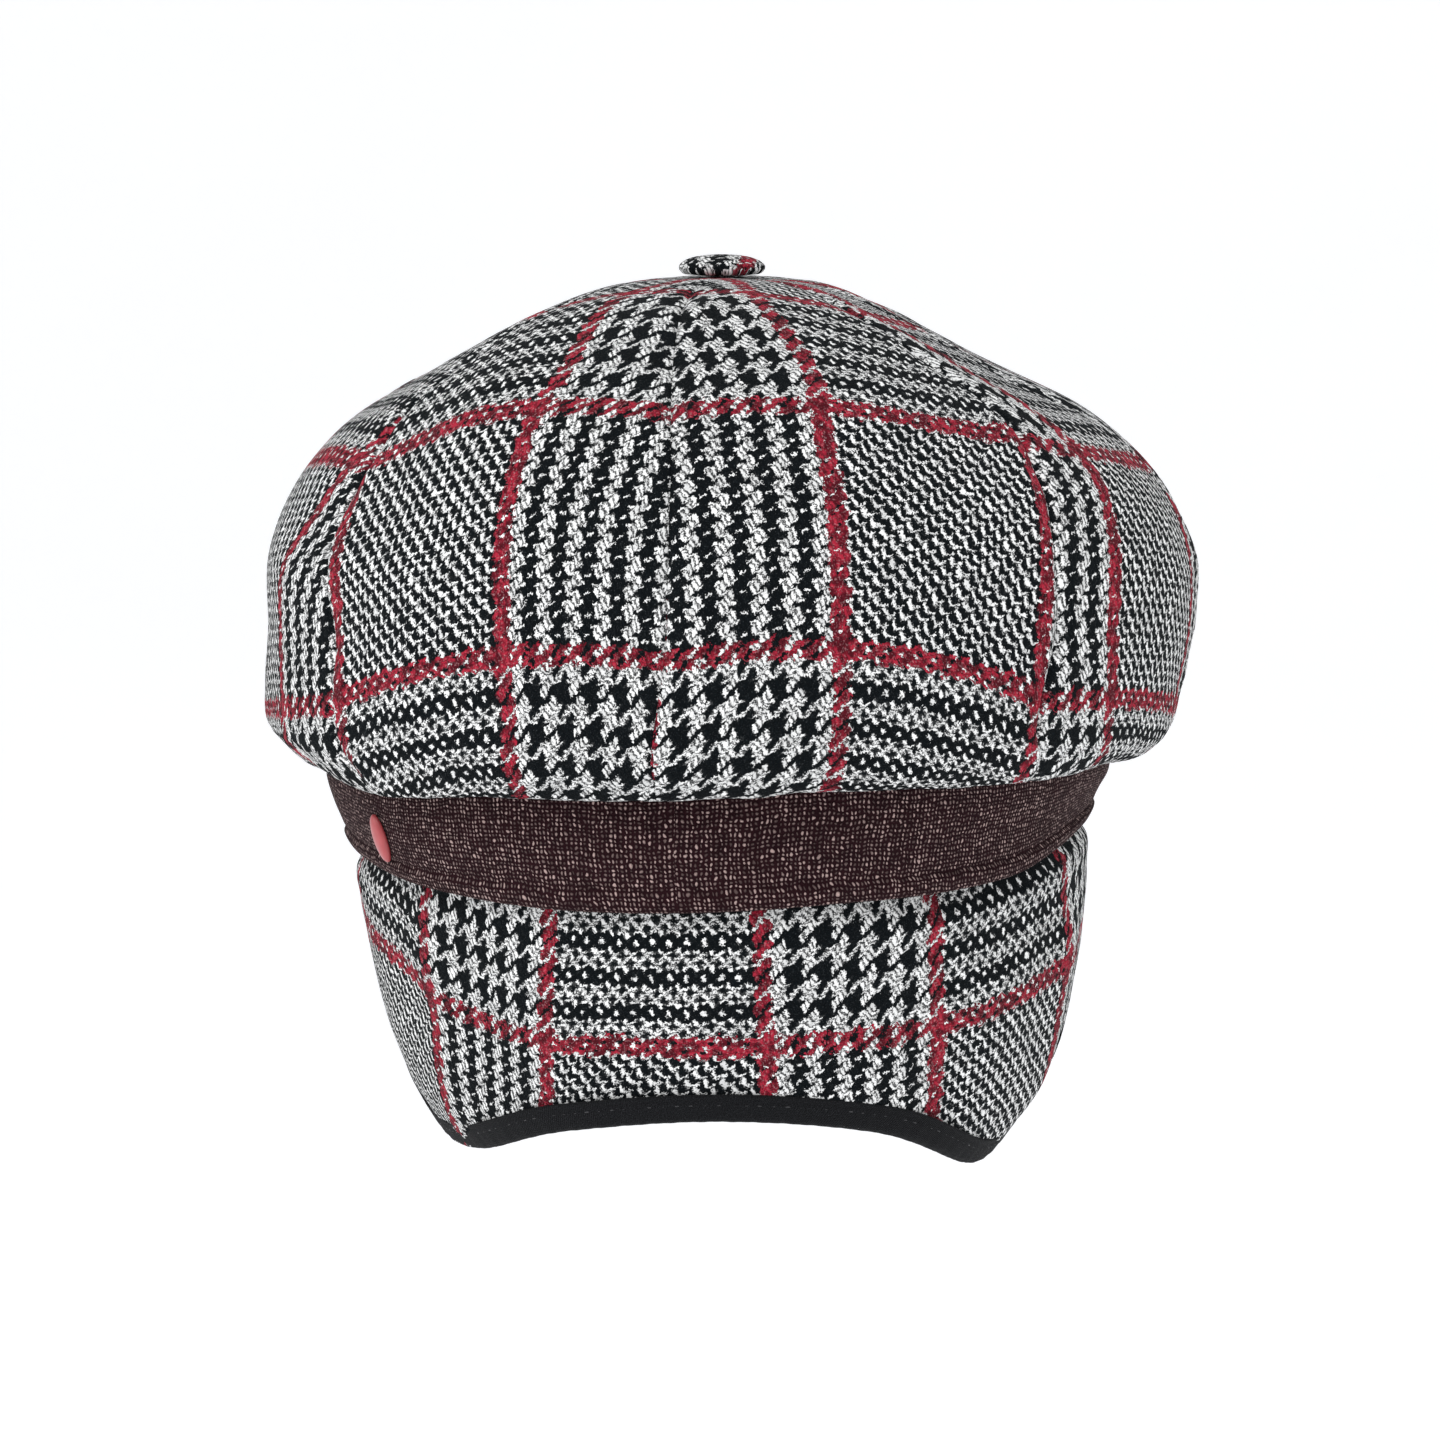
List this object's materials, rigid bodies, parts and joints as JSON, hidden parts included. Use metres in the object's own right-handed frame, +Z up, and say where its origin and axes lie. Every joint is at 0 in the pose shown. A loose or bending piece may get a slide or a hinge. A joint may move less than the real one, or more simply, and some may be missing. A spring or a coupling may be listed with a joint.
{
  "type": "earflap cap",
  "caption": "Soft panelled cap in check wool with a covered button, a woven band, a short peak and a pulled-down neck and ear flap with a bound edge.",
  "frame": {"origin": "middle of the head opening, level with the lower edge of the band", "axes": "+Z up through the button, +Y to the front where the peak is, +X to the wearer's right"},
  "size_m": [0.2113, 0.2772, 0.2028],
  "materials": {
    "tweed": "matt woven wool check in black and white with a red overcheck",
    "band_cloth": "matt maroon hopsack with pale flecks",
    "binding_tape": "black cotton tape, slightly satin",
    "stud_enamel": "red enamel"
  },
  "bodies": {
    "root": {"crown_panel_1": "tweed", "crown_panel_2": "tweed", "crown_panel_3": "tweed", "crown_panel_4": "tweed", "crown_panel_5": "tweed", "crown_panel_6": "tweed", "crown_panel_7": "tweed", "crown_panel_8": "tweed", "button": "tweed", "band": "band_cloth", "flap": "tweed", "flap_binding": "binding_tape", "peak": "tweed", "stud": "stud_enamel"}
  },
  "joints": []
}
